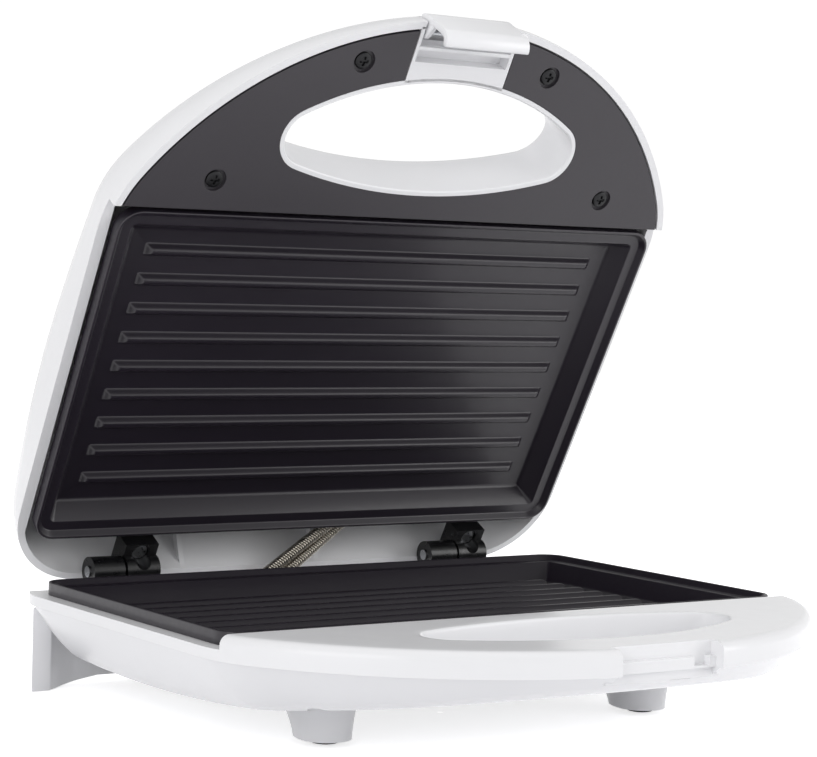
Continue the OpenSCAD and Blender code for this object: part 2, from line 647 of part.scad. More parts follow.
module hinge_pins() {
    color("#7d7f83") on_base() for (x = hinge_mid)
        translate([x, hinge_back, 0]) along_x(0, hinge_len + 1.2, pin_r);
}

// ---- lid ----
trim_t = 2.5;
block_hw = slot_hw + 0.4;
block_y = -nose_reach + grip_w - 7;
cross_bar = [-nose_reach + 10.4, 1.6];
trim_screw_at = [[38, 17.5 - nose_reach], [half_w - 35, -rim_d - 12.6]];
gusset_x = [-43, 14.5];
lip_in = 2;                       // depth of the upper plate's ledge behind its hinge edge
lens_at = [14, -108];
lens_r = 4;

lid_rings = concat(
    [for (a = [0, 12, 26, 42, 58, 74, 90]) [for (p = outline) crown_pt(p, a, 0)]],
    [for (s = [0.2 : 0.2 : 0.8]) [for (p = outline) crown_top(p, s, 2, 0)]],
    [[for (p = outline) crown_top(p, 1, 2, 0)],
     [for (p = outline) let (q = opening_pt(p, 0.5)) put(q, crown_h_at(q[0], q[1]) - 0.6)],
     [for (p = outline) let (q = opening_pt(p, 0)) put(q, crown_h_at(q[0], q[1]) - 2)],
     [for (p = outline) put(opening_pt(p, 0), 0)],
     [for (p = outline) put(opening_pt(p, opening_wall), 0)]],
    [for (s = [1 : -0.2 : 0.2]) [for (p = outline) crown_top(p, s, opening_wall, wall)]],
    [for (a = [90, 68, 45, 22, 0]) [for (p = outline) crown_pt(p, a, wall)]]);

module lid_shell() {
    color("#f1f1f3") on_lid() {
        difference() {
            union() {
                skin_looped(lid_rings);
                // housing of the latch, between the opening and the nose
                difference() {
                    translate([-block_hw, -nose_reach + 3.4, 0]) cube([2 * block_hw, grip_w + 2, 6.4]);
                    translate([0, 0, -1]) linear_extrude(20) opening_2d(opening_wall / 2);
                }
                both_sides() for (p = trim_screw_at)
                    translate([p[0], p[1], trim_t]) cylinder(h = crown_at(p[0], p[1]) - 1 - trim_t, r = boss_r);
                for (x = hinge_mid) translate([x + arm_dx, arm_screw_y, arm_z[1]])
                    cylinder(h = crown_at(x + arm_dx, arm_screw_y + boss_r) - 1 - arm_z[1], r = boss_r);
                // ledge for the upper plate
                intersection() {
                    translate([0, 0, lip_step]) linear_extrude(wall) outline_2d(wall / 2);
                    translate([-half_w, deck_back, 0]) cube([body_w, lip_in - deck_back, far]);
                }
                for (x = gusset_x) translate([x, 0, 0]) rotate([90, 0, 90]) linear_extrude(2, center = true)
                    polygon([[tail_reach - 1.6, lip_step + 0.5], [tail_reach - 4.5, 12.7],
                        [tail_reach - 13, 20.5], [tail_reach - 16.5, 20.5]]);
            }
            // raised lip beside and behind the plate
            over_lip(lip_step);
            plate_opening(2 * lip_step + 2 * wall + 1);
            // mouth of the latch housing
            translate([-slot_hw + 0.9, block_y - 20, -1]) cube([latch_slot_w - 1.8, 20, 5.6]);
            translate([0, pivot[0], pivot[1]]) along_x(0, latch_slot_w - 1.8, latch_r + 0.6);
            translate([-slot_hw + 0.9, pivot[0] - 20, -1]) cube([latch_slot_w - 1.8, 20, far]);
            translate([0, pivot[0], pivot[1]]) along_x(0, 2 * slot_hw + 0.3, latch_pin_r + fit);
            both_sides() for (p = trim_screw_at)
                translate([p[0], p[1], -1]) cylinder(h = 7.5, r = screw_r + fit);
            for (x = hinge_mid) translate([x + arm_dx, arm_screw_y, 0]) cylinder(h = arm_z[1] + 6, r = screw_r + fit);
            for (s = [-1, 1]) translate([s * lens_at[0], lens_at[1], 10]) cylinder(h = 30, r = lens_r + fit);
        }
        translate([-slot_hw + 0.5, cross_bar[0], 0]) cube([latch_slot_w - 1, 1.4, cross_bar[1]]);
    }
}
// the mirror image of over_ledge, for the lid
module over_lip(z0) { mirror([0, 0, 1]) over_ledge(-z0); }

module handle_trim() {
    color("#4a484b") on_lid() difference() {
        linear_extrude(trim_t) difference() {
            intersection() {
                outline_2d(wall + 0.3);
                translate([-body_w, deck_back - 2 * body_w]) square(2 * body_w);
            }
            opening_2d(opening_wall + 0.15);
            translate([-block_hw - 0.3, -nose_reach - 1]) square([2 * block_hw + 0.6, grip_w + 6]);
        }
        over_lip(lip_step);
        both_sides() for (p = trim_screw_at) {
            translate([p[0], p[1], -1]) cylinder(h = 2.2, r = 4);
            translate([p[0], p[1], -1]) cylinder(h = 5, r = screw_r + fit);
        }
    }
}
module trim_screws() {
    color("#2b2b2d") on_lid() both_sides() for (p = trim_screw_at) translate([p[0], p[1], 1.2]) {
        cylinder(h = 5.2, r = screw_r);
        translate([0, 0, -1.1]) cylinder(h = 1.1, r = head_r);
    }
}
module lens(s) {
    z = crown_at(lens_at[0], lens_at[1]);
    on_lid() translate([s * lens_at[0], lens_at[1], z - 4.4]) cylinder(h = 5.4, r = lens_r);
}
module power_lens() { color("#a8231d") lens(-1); }
module ready_lens() { color("#2c8a3c") lens(1); }
module lamp_holder() {
    z = crown_at(lens_at[0], lens_at[1]);
    color("#e8e6df") on_lid() translate([-22, lens_at[1] - 5, -pan_z + pan_t + 0.3])
        cube([44, 10, z - 4.6 + pan_z - pan_t - 0.3]);
}

// ---- latch ----
latch_pin_r = 1.1;
latch_bottom = [ledge_y - 0.8, 4.5 - latch_drop, 4.5];   // lower bend [y, z, outer radius]
latch_face_y = pivot[0] - latch_r;
function arc_2d(c, r, a0, a1, n) = [for (i = [0 : n]) let (a = a0 + (a1 - a0) * i / n) c + r * [cos(a), sin(a)]];
latch_profile = let (c = [latch_bottom[0], latch_bottom[1]], r = latch_bottom[2]) concat(
    arc_2d(pivot, latch_r, 90, 180, 10), arc_2d(c, r, 180, 270, 8),
    [c + [0.4, -r + 0.3], c + [0.4, -r + latch_t - 0.4], c + [0, -r + latch_t]],
    arc_2d(c, r - latch_t, 260, 180, 6), arc_2d(pivot, latch_r - latch_t, 180, 90, 8));
module latch() {
    color("#eeeef0") on_lid() difference() {
        union() {
            rotate([90, 0, 90]) linear_extrude(latch_len, center = true) polygon(latch_profile);
            for (x = [-14, 14]) translate([x, 0, 0]) rotate([90, 0, 90]) linear_extrude(1.6, center = true)
                polygon(concat(arc_2d(pivot, latch_r - 0.5, 90, 180, 8), arc_2d(pivot, 2.3, 210, 420, 10)));
            translate([latch_hw - 0.5, latch_face_y + latch_t / 2, latch_bottom[1] + 1]) along_x(0.7, 1.4, 1);
        }
        translate([0, pivot[0], pivot[1]]) along_x(0, 2 * latch_len, latch_pin_r + fit);
    }
}
module latch_pin() {
    color("#8a8c90") on_lid() translate([0, pivot[0], pivot[1]]) along_x(0, 2 * slot_hw, latch_pin_r);
}

base_frame();
base_tub();
foot_pads();
tub_screws();
cord_gland();
lower_plate();
lower_element();
lower_reflector();
lower_reflector_screws();
plate_screws();
thermostat();
thermal_fuse();
terminal_block();
hinge_bracket_left();
hinge_bracket_right();
bracket_screws();
hinge_pins();
wire_conduit_left();
wire_conduit_right();
lid_shell();
handle_trim();
trim_screws();
upper_plate();
upper_element();
upper_reflector();
upper_reflector_screws();
hinge_arm_left();
hinge_arm_right();
arm_screws();
power_lens();
ready_lens();
lamp_holder();
latch_pin();
latch();
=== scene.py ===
"""A sandwich toaster with its lid open: glossy white shells, black ribbed plates, dark trim at the handle."""
import math

import bmesh
import bpy
import numpy as np
from mathutils import Matrix, Vector


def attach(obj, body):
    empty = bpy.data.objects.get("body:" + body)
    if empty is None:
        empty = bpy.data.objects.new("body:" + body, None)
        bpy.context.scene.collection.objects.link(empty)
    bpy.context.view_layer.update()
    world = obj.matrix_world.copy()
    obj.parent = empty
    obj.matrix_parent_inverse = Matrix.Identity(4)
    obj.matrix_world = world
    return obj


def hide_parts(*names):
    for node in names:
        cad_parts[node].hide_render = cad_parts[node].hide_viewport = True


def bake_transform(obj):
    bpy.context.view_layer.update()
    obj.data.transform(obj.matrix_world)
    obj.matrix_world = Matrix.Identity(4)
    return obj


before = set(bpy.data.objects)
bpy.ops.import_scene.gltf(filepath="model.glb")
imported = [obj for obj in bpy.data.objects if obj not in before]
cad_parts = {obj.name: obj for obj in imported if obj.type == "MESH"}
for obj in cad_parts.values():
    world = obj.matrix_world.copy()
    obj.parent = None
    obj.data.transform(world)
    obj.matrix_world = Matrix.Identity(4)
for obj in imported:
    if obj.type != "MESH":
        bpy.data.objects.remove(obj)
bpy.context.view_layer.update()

# ---------------------------------------------------------------- sizes, in millimetres
body_w, tail_reach = 230, 21.5
shoulder_r, tail_r = 46, 30
rim_h, wall, origin_set = 40, 2.5, 83.4
open_deg, crown_h, nose_h, crown_rise, closed_gap = 60.9, 35, 9.6, 2.5, 0.4
crown_y, crown_drop, nose_edge_r, side_edge_r, tail_edge_r, lip_step = -45, 11, 5, 14, 20, 4.5
band_h, belly_d, belly_r, belly_set, belly_edge = 8, 29, 715, 1.2, 21
deck_step, deck_edge_r = 4.5, 3.2
grip_w, opening_d, deck_w, opening_back_r, opening_end_r = 22.9, 40.7, 12.5, 180, 10
rim_d, side_w, rim_corner_r, floor_d, plate_t = 129.4, 5, 8, 9.2, 2.4
rib_count, rib_pitch, rib_set, rib_first, rib_w, rib_top_w, rib_h = 9, 11.4, 17, 19.5, 4.4, 2, 2.2
hinge_back = 14.4
latch_len, latch_t, latch_drop, latch_slot_w = 36, 2.2, 12.9, 39
slot_gap, slot_z, slot_front_z, web_t, hook_r = 0.9, 4.6, 5.4, 1.6, 4.5
trim_t, trim_backing_z, trim_fit, screw_seat_z, gusset_x, gusset_t = 2.5, 1.3, 0.3, 1.2, (-43, 14.5), 2
housing_y, housing_h, bar_y, bar_h, bar_gap = (3.4, 5.4), 6.4, (10.4, 11.8), 1.6, 0.5
lens_at, lens_hole_r, shelf_z, stand_top = (14, -108), 4.05, (-10.5, -8), -10.8
far = 200
foot_x, foot_y, pad_h, stand_t, stand_in = 64, 112, 1.6, 4, 1
screw_r, head_r = 1.5, 3
opening_wall, deck_gap, ledge_in, lip_in, skirt_gap = 1.8, 1.6, 2.4, 2, 0.9
half_w = body_w / 2
rim_w = body_w - 2 * side_w
rib_len = rim_w - 2 * rib_set
nose_r = 0.548 * body_w
opening_y = rim_d + deck_w
nose_reach = opening_y + opening_d + grip_w
deck_back = -rim_d - deck_gap
under_z = floor_d + plate_t
pivot = (-nose_reach + 5.7, 1.7)
latch_r, latch_hw, slot_hw = 6, latch_len / 2, latch_slot_w / 2
ledge_y = -nose_reach + 5
nose_cy = nose_r - nose_reach
shoulder_x = half_w - shoulder_r
shoulder_cy = nose_cy - math.sqrt((nose_r - shoulder_r) ** 2 - shoulder_x ** 2)
shoulder_a = math.atan2(shoulder_cy - nose_cy, shoulder_x)
tail_cx, tail_cy = half_w - tail_r, tail_reach - tail_r


# ---------------------------------------------------------------- camera
def look(place, azimuth, elevation, roll):
    """A camera's matrix from its place and three angles in degrees: right, up and back are its columns."""
    a, e, t = (math.radians(v) for v in (azimuth, elevation, roll))
    back = Vector((math.sin(a) * math.cos(e), -math.cos(a) * math.cos(e), math.sin(e)))
    level = Vector((math.cos(a), math.sin(a), 0))
    rise = back.cross(level)
    right = math.cos(t) * level + math.sin(t) * rise
    up = -math.sin(t) * level + math.cos(t) * rise
    turn = Matrix((right, up, back)).transposed().to_4x4()
    return Matrix.Translation(place) @ turn


camera = bpy.data.objects.new("camera", bpy.data.cameras.new("camera"))
camera.data.lens, camera.data.sensor_width, camera.data.clip_start = 104.65, 36, 0.01
camera.matrix_world = look((-0.4597, -0.6566, 0.1476), -33.998, 2.476, 1.648)
bpy.context.scene.collection.objects.link(camera)
bpy.context.scene.camera = camera
bpy.context.scene.view_settings.view_transform = "Standard"


# ---------------------------------------------------------------- materials
def linear(hexa):
    """sRGB hex to a linear RGBA colour."""
    c = np.array([int(hexa[i:i + 2], 16) for i in (1, 3, 5)]) / 255
    return (*np.where(c <= 0.04045, c / 12.92, ((c + 0.055) / 1.055) ** 2.4).tolist(), 1.0)


def add(tree, kind, links=None, values=None, **settings):
    """Adds a node, sets its settings and its inputs' values, and links {input: (node, output)} into it."""
    n = tree.nodes.new(kind)
    for k, v in settings.items():
        setattr(n, k, v)
    for k, v in (values or {}).items():
        n.inputs[k].default_value = v
    for k, (source, out) in (links or {}).items():
        tree.links.new(source.outputs[out], n.inputs[k])
    return n


def finish(name, colour, rough, ior=1.5, grain=0.0006, depth=0.02, drift=0.02, spread=0.05, metal=0, coat=0):
    """A finish: its colour drifts a little over the piece, its gloss varies by spread about rough, and a
    grain of that size in metres lifts the surface by depth in millimetres."""
    m = bpy.data.materials.new(name)
    m.use_nodes = True
    t = m.node_tree
    p = t.nodes["Principled BSDF"]
    p.inputs["IOR"].default_value = ior
    p.inputs["Metallic"].default_value = metal
    if coat:
        p.inputs["Coat Weight"].default_value = coat
        p.inputs["Coat Roughness"].default_value = 0.16
    at = add(t, "ShaderNodeTexCoord")
    cloud = add(t, "ShaderNodeTexNoise", {"Vector": (at, "Object")}, {"Scale": 28.0, "Detail": 3.0})
    tone = add(t, "ShaderNodeValToRGB", {"Fac": (cloud, "Fac")})
    c = np.array(linear(colour))
    for e, k in zip(tone.color_ramp.elements, (1 - drift, 1 + drift)):
        e.color = (*np.clip(c[:3] * k, 0, 1).tolist(), 1)
    tone.color_ramp.elements[0].position, tone.color_ramp.elements[1].position = 0.3, 0.7
    t.links.new(tone.outputs["Color"], p.inputs["Base Color"])
    fine = add(t, "ShaderNodeTexNoise", {"Vector": (at, "Object")}, {"Scale": 0.45 / grain, "Detail": 2.0})
    gloss = add(t, "ShaderNodeMapRange", {"Value": (fine, "Fac")},
                {"From Min": 0.3, "From Max": 0.7,
                 "To Min": rough - spread / 2, "To Max": rough + spread / 2})
    t.links.new(gloss.outputs["Result"], p.inputs["Roughness"])
    bump = add(t, "ShaderNodeBump", {"Height": (fine, "Fac")}, {"Strength": 1.0, "Distance": depth * 0.001})
    t.links.new(bump.outputs["Normal"], p.inputs["Normal"])
    return m


# Moulded ABS from a polished tool: an even white with broad, soft highlights and almost no grain.
white_abs = finish("white_abs", "#F1F1F3", 0.24, 1.42, 0.004, 0.001, 0.006, 0.02)
# Moulded ABS with a spark-eroded texture: a dark grey with a dull, even sheen.
dark_trim = finish("dark_trim", "#353237", 0.42, 1.45, 0.0007, 0.02, 0.03, 0.08)
# Sprayed non-stick coating on cast aluminium: near black with a faint sheen that picks out the ribs.
nonstick = finish("nonstick_coating", "#1E1922", 0.42, 1.45, 0.0011, 0.012, 0.05, 0.06, coat=0.22)
# Moulded glass-filled nylon: black, a little uneven, with small bright highlights.
black_plastic = finish("black_plastic", "#0D0D0F", 0.3, 1.5, 0.0012, 0.04, 0.04, 0.08)
# Moulded rubber: black and matt, with no clear highlight.
pad_rubber = finish("pad_rubber", "#101011", 0.7, 1.5, 0.001, 0.06, 0.05, 0.1)
# Black oxide on steel: a dark metal whose recess catches the light.
black_screw = finish("black_oxide_screw", "#1E1E20", 0.36, 1.5, 0.0005, 0.01, 0.05, 0.1, metal=0.6)
# Zinc plate on steel: a bright grey metal with soft mirror images.
zinc = finish("zinc_plated_screw", "#A9ABAE", 0.3, 1.5, 0.0005, 0.01, 0.04, 0.1, metal=1)
# Drawn spring wire: a warm grey metal that glints on every turn.
spring = finish("spring_steel", "#B8B2A8", 0.26, 1.5, 0.0009, 0.004, 0.06, 0.08, metal=1)
# Rolled heater tube, dulled by heat: a dark grey metal with a streaked gloss.
sheath = finish("element_sheath", "#5E5F62", 0.45, 1.5, 0.0012, 0.02, 0.08, 0.1, metal=1)
# Rolled aluminised sheet: a pale metal with wide, blurred reflections.
pan_steel = finish("reflector_sheet", "#C2C4C7", 0.24, 1.5, 0.002, 0.006, 0.03, 0.1, metal=1)
# Glazed ceramic: cream with a smooth gloss.
ceramic = finish("glazed_ceramic", "#D8D3C4", 0.3, 1.5, 0.002, 0.01, 0.03, 0.08)
# Clear moulded acrylic, tinted: a deep colour under a sharp highlight.
lens_red = finish("red_lens", "#9C1B16", 0.08, 1.49, 0.003, 0.002, 0.04, 0.02)
lens_green = finish("green_lens", "#1F7A33", 0.08, 1.49, 0.003, 0.002, 0.04, 0.02)


# ---------------------------------------------------------------- surfaces
def mix(a, b, t):
    """From a to b by the share t."""
    return a + (b - a) * t


def outline(n):
    """Plan of the body, n points even along it, each with its outward normal: nose arc, shoulders, straight
    sides, tail corners and tail edge, mirrored left to right."""
    def arc(cx, cy, r, a0, a1, k):
        """k points of an arc about (cx, cy), each with the radial direction as its normal."""
        a = np.linspace(a0, a1, k)
        return np.stack([cx + r * np.cos(a), cy + r * np.sin(a), np.cos(a), np.sin(a)], 1)
    q = math.pi / 2
    h = np.concatenate([arc(0, nose_cy, nose_r, -q, shoulder_a, 900),
                        arc(shoulder_x, shoulder_cy, shoulder_r, shoulder_a, 0, 500),
                        arc(tail_cx, tail_cy, tail_r, 0, q, 500), [[0, tail_reach, 0, 1]]])
    s = np.concatenate([[0], np.cumsum(np.hypot(*np.diff(h[:, :2], axis=0).T))])
    at = np.linspace(0, s[-1], n // 2 + 1)
    half = np.stack([np.interp(at, s, h[:, k]) for k in range(4)], 1)
    half[:, 2:] /= np.linalg.norm(half[:, 2:], axis=1)[:, None]
    return np.concatenate([half, half[-2:0:-1] * [-1, 1, -1, 1]])


front_arc_r = nose_r - grip_w
back_cy = -opening_y - opening_back_r
end_cy = ((nose_cy ** 2 - back_cy ** 2 - (front_arc_r - opening_end_r) ** 2
           + (opening_back_r - opening_end_r) ** 2) / (2 * (nose_cy - back_cy)))
end_cx = math.sqrt((front_arc_r - opening_end_r) ** 2 - (end_cy - nose_cy) ** 2)
opening_cy = -opening_y - opening_d / 2


def opening_pt(p, grow):
    """Opening's outline, grown by grow, where the ray from its middle to each point p leaves it: a front
    arc, a back arc and round ends that touch both."""
    def out(u, cx, cy, r):
        """Distance along each ray u from the opening's middle to a circle's far side: the larger root."""
        b = cx * u[:, 0] + (cy - opening_cy) * u[:, 1]
        return b + np.sqrt(np.maximum(b * b - (cx ** 2 + (cy - opening_cy) ** 2) + r * r, 0))

    def touch(cy):
        """Angle from the opening's middle to where the round end meets the arc about (0, cy)."""
        d = np.array([end_cx, end_cy - cy])
        t = np.array([end_cx, end_cy]) + (opening_end_r + grow) * d / np.linalg.norm(d)
        return math.atan2(t[1] - opening_cy, t[0])
    u = p[:, :2] - [0, opening_cy]
    u = u / np.linalg.norm(u, axis=1)[:, None]
    a = np.arctan2(u[:, 1], np.abs(u[:, 0]))
    side = np.sign(u[:, 0]) + (u[:, 0] == 0)
    r = np.where(a < touch(nose_cy), out(u, 0, nose_cy, front_arc_r + grow),
                 np.where(a > touch(back_cy), out(u, 0, back_cy, opening_back_r + grow),
                          out(u * np.stack([side, side * 0 + 1], 1), end_cx, end_cy, opening_end_r + grow)))
    return u * r[:, None] + [0, opening_cy]


def inset(o, d):
    """Outline moved inwards by d along its normals: each point less its normal times d."""
    return o[:, :2] - o[:, 2:] * np.broadcast_to(np.asarray(d, float), len(o))[:, None]


def put(p, z):
    """Plan points p with the height z, one number or one for each point."""
    return np.column_stack([p, np.broadcast_to(z, len(p))])


def crown_height(q):
    """Height of the lid's crown over its lip: it climbs from the nose, falls a little to the tail and rises
    across the middle."""
    t = np.minimum(1, (q[:, 1] + nose_reach) / (nose_reach + crown_y))
    b = np.maximum(0, (q[:, 1] - crown_y) / (tail_reach - crown_y))
    return (nose_h + (crown_h - nose_h) * t * (1.3 + 0.4 * t - 0.7 * t * t) - crown_drop * b * b
            + crown_rise * (1 - (q[:, 0] / half_w) ** 2) * t)


def crown_edge(y):
    """Width of the rounding between the lid's side and its crown: small at the nose, wide at the tail."""
    front = np.clip((y + nose_reach) / (shoulder_cy + nose_reach), 0, 1)
    back = np.clip((y - shoulder_cy) / (tail_cy - shoulder_cy), 0, 1)
    return np.where(y < shoulder_cy, mix(nose_edge_r, side_edge_r, front),
                    mix(side_edge_r, tail_edge_r, back ** 4))


def crown_side(o, a, t):
    """Lid's side: a runs from 0 at the lip to 90 degrees at the crown, t is how far inside."""
    a = math.radians(a)
    q = inset(o, t + (crown_edge(o[:, 1]) - t / 2) * (1 - math.cos(a)))
    return put(q, (crown_height(q) - t) * math.sin(a))


def crown_top(o, s, grow, t):
    """Lid's top: s runs from 0 at its rounded side to 1 at the opening grown by grow, t is the depth."""
    q = mix(inset(o, crown_edge(o[:, 1]) + t / 2), opening_pt(o, grow), s)
    return put(q, crown_height(q) - t)


def belly_z(y):
    """Height of the belly at y: a parabola that is lowest at y = -50 and rises to both ends."""
    return -belly_d + (y + 50) ** 2 / (2 * belly_r)


def belly_w(y):
    """Width of the belly's rounded side at y, less at the nose than behind it."""
    return mix(belly_edge, 14, np.clip((-y - nose_reach + 55) / 40, 0, 1))


def belly_side(o, i, t):
    """Belly's side: i runs from 0 at the band to 1 at the flat of the belly, a quarter wave in height."""
    q = inset(o, mix(belly_set, belly_w(o[:, 1]), i) + t)
    return put(q, -band_h + (belly_z(q[:, 1]) + band_h + t) * math.sin(math.pi / 2 * i))


def belly_flat(o, s, grow, t):
    """Belly's flat: s runs from 0 at its rounded side to 1 at the opening grown by grow, t is the depth."""
    q = mix(inset(o, belly_w(o[:, 1]) + t), opening_pt(o, grow), s)
    return put(q, belly_z(q[:, 1]) + t)


def edge_in(x, y):
    """How far a point lies inside the body's outline: to the nearest of its arcs and straight sides."""
    x = abs(x)
    if y < shoulder_cy:
        if math.atan2(y - nose_cy, x) > shoulder_a:
            return shoulder_r - math.hypot(x - shoulder_x, y - shoulder_cy)
        return nose_r - math.hypot(x, y - nose_cy)
    if y > tail_cy and x > tail_cx:
        return tail_r - math.hypot(x - tail_cx, y - tail_cy)
    return min(half_w - x, tail_reach - y)


def belly_at(x, y):
    """Height of the belly's outside at a point: a quarter sine wave over its side, then the flat."""
    w = float(belly_w(np.float64(y)))
    k = min(1, max(0, (edge_in(x, y) - belly_set) / (w - belly_set)))
    return -band_h + (float(belly_z(y)) + band_h) * math.sin(math.pi / 2 * k)


# ---------------------------------------------------------------- shells: (points, [faces])
def skin(rings, loop=False, cap=True):
    """Rings of as many points each, joined one to the next. loop joins the last to the first, and cap fills
    both ends."""
    p = np.asarray(rings, float)
    m, n = p.shape[:2]
    i, j = np.meshgrid(np.arange(m if loop else m - 1), np.arange(n), indexing="ij")
    k, l = (i + 1) % m, (j + 1) % n
    quads = np.stack([i * n + j, i * n + l, k * n + l, k * n + j], -1).reshape(-1, 4)
    faces = [quads]
    v = p.reshape(-1, 3)
    if cap and not loop:
        e = np.arange(n)
        v = np.concatenate([v, [p[0].mean(0)], [p[-1].mean(0)]])
        faces.append(np.stack([np.roll(e, -1), e, e * 0 + m * n], 1))
        faces.append(np.stack([(m - 1) * n + e, (m - 1) * n + np.roll(e, -1), e * 0 + m * n + 1], 1))
    return v, faces


def block(x0, x1, y0, y1, z0, z1):
    """A box between two corners."""
    c = [[(x, y, z) for x, y in ((x0, y0), (x1, y0), (x1, y1), (x0, y1))] for z in (z0, z1)]
    sides = [[3, 2, 1, 0], [4, 5, 6, 7], [0, 1, 5, 4], [1, 2, 6, 5], [2, 3, 7, 6], [3, 0, 4, 7]]
    return np.array(c, float).reshape(-1, 3), [np.array(sides)]


def prism(pts, lo, hi, axis):
    """A flat outline carried from lo to hi along axis x, y or z."""
    p = np.asarray(pts, float)
    n = len(p)
    order = {"x": (2, 0, 1), "y": (0, 2, 1), "z": (0, 1, 2)}[axis]
    v = np.concatenate([np.column_stack([p, np.full(n, h)])[:, order] for h in (lo, hi)])
    e = np.arange(n)
    return v, [np.stack([e, np.roll(e, -1), np.roll(e, -1) + n, e + n], 1), e[None, ::-1], e[None] + n]


def turned(profile, centre, axis="z", n=64):
    """A profile of (radius, height) turned about an axis through centre."""
    pr = np.asarray(profile, float)
    a = np.linspace(0, 2 * math.pi, n, endpoint=False)
    r = np.stack([pr[:, :1] * np.cos(a), pr[:, :1] * np.sin(a), np.repeat(pr[:, 1:], n, 1)], -1)
    order = {"x": (2, 0, 1), "y": (0, 2, 1), "z": (0, 1, 2)}[axis]
    return skin(r[..., order] + np.asarray(centre, float))


def rod(centre, axis, r, l, n=48):
    """A cylinder of length l with its middle at centre."""
    return turned([(r, -l / 2), (r, l / 2)], centre, axis, n)


def rounded(path, r, k=4):
    """A path of points with each corner inside it rounded, on an arc that touches both its legs."""
    p = np.asarray(path, float)
    out = [p[0]]
    for a, b, c in zip(p[:-2], p[1:-1], p[2:]):
        u, w = a - b, c - b
        lu, lw = np.linalg.norm(u), np.linalg.norm(w)
        d = min(r, lu / 2.2, lw / 2.2)
        s, e = b + u / lu * d, b + w / lw * d
        t = np.linspace(0, 1, k + 1)[:, None]
        out += list((1 - t) ** 2 * s + 2 * t * (1 - t) * b + t * t * e)
    return np.array(out + [p[-1]])


# ---------------------------------------------------------------- places and pieces
def on_base(v):
    """Base's own frame to the shared one: up by rim_h, back by origin_set, then millimetres to metres."""
    return (v + [0, origin_set, rim_h]) * 0.001


def on_lid(v):
    """Lid's own frame, turned back about the hinge line by open_deg."""
    a = math.radians(open_deg)
    y, z = v[:, 1] - hinge_back, v[:, 2] + closed_gap
    return on_base(np.column_stack([v[:, 0], y * math.cos(a) + z * math.sin(a) + hinge_back,
                                    -y * math.sin(a) + z * math.cos(a)]))


def raw(name, shells):
    """A mesh object from shells, with its faces turned outwards."""
    v, f, k = [], [], 0
    for pts, faces in shells:
        v.append(pts)
        for g in faces:
            f += (np.asarray(g) + k).tolist()
        k += len(pts)
    me = bpy.data.meshes.new(name)
    me.from_pydata(np.concatenate(v).tolist(), [], f)
    bm = bmesh.new()
    bm.from_mesh(me)
    bmesh.ops.remove_doubles(bm, verts=bm.verts, dist=1e-4)
    bmesh.ops.recalc_face_normals(bm, faces=bm.faces)
    bm.to_mesh(me)
    bm.free()
    o = bpy.data.objects.new(name, me)
    bpy.context.scene.collection.objects.link(o)
    return o


def settle(o):
    """Applies an object's modifiers to its mesh."""
    me = bpy.data.meshes.new_from_object(o.evaluated_get(bpy.context.evaluated_depsgraph_get()))
    o.modifiers.clear()
    o.data = me
    return o


def shape(name, shells, minus=(), plus=()):
    """Shells, less the shells in minus, and with those in plus joined on, as one object in its own frame."""
    o = raw(name, shells)
    tools = [(raw("tool", [s]), "UNION") for s in plus] + [(raw("tool", [s]), "DIFFERENCE") for s in minus]
    for tool, operation in tools:
        b = o.modifiers.new("b", "BOOLEAN")
        b.object, b.operation, b.solver = tool, operation, "EXACT"
    if tools:
        settle(o)
    for tool, _ in tools:
        bpy.data.objects.remove(tool)
    return o


def carry(o, place):
    """Moves all of an object's vertices by the function place, from millimetres to the shared frame."""
    v = np.zeros(len(o.data.vertices) * 3)
    o.data.vertices.foreach_get("co", v)
    o.data.vertices.foreach_set("co", place(v.reshape(-1, 3)).ravel())
    o.data.update()


def piece(o, place, body, material, slot, *nodes, crease=32, bevel=0):
    """Puts a shape in its place, gives it its finish, sets it on its body and hides the parts of the model
    that it replaces.
    """
    carry(o, place)
    o.data.materials.clear()
    o.data.materials.append(material)
    if bevel:
        b = o.modifiers.new("edges", "BEVEL")
        b.width, b.segments, b.limit_method, b.angle_limit = bevel * 0.001, 2, "ANGLE", math.radians(40)
        settle(o)
    o.data.shade_smooth()
    o.data.set_sharp_from_angle(angle=math.radians(crease))
    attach(o, body)
    if nodes:
        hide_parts(*nodes)
    return o


# ---------------------------------------------------------------- lid
ring = outline(560)
over_lip = block(-body_w, body_w, deck_back, 60, -30, lip_step)
lid_path = ([crown_side(ring, a, 0) for a in np.linspace(0, 90, 25)]
            + [crown_top(ring, s, 2, 0) for s in np.linspace(0.08, 1, 12)])
edge = opening_pt(ring, 0)
for k in np.linspace(20, 90, 4):
    q = opening_pt(ring, 2 * (1 - math.sin(math.radians(k))))
    lid_path.append(put(q, crown_height(q) - 2 * (1 - math.cos(math.radians(k)))))
lid_path += [put(edge, 0.4), put(opening_pt(ring, 0.4), 0), put(opening_pt(ring, opening_wall), 0)]
lid_path += [crown_top(ring, s, opening_wall, wall) for s in np.linspace(1, 0.1, 6)]
lid_path += [crown_side(ring, a, wall) for a in np.linspace(90, 0, 9)]
trim_screw_at = [(38, 17.5 - nose_reach), (half_w - 35, -rim_d - 12.6)]
block_hw, block_y = slot_hw + 0.4, -nose_reach + grip_w - 7
turn = np.linspace(0, 2 * math.pi, 360, endpoint=False)
hole = opening_pt(np.stack([np.cos(turn), opening_cy + np.sin(turn)], 1), opening_wall / 2)
slot = slot_hw - slot_gap


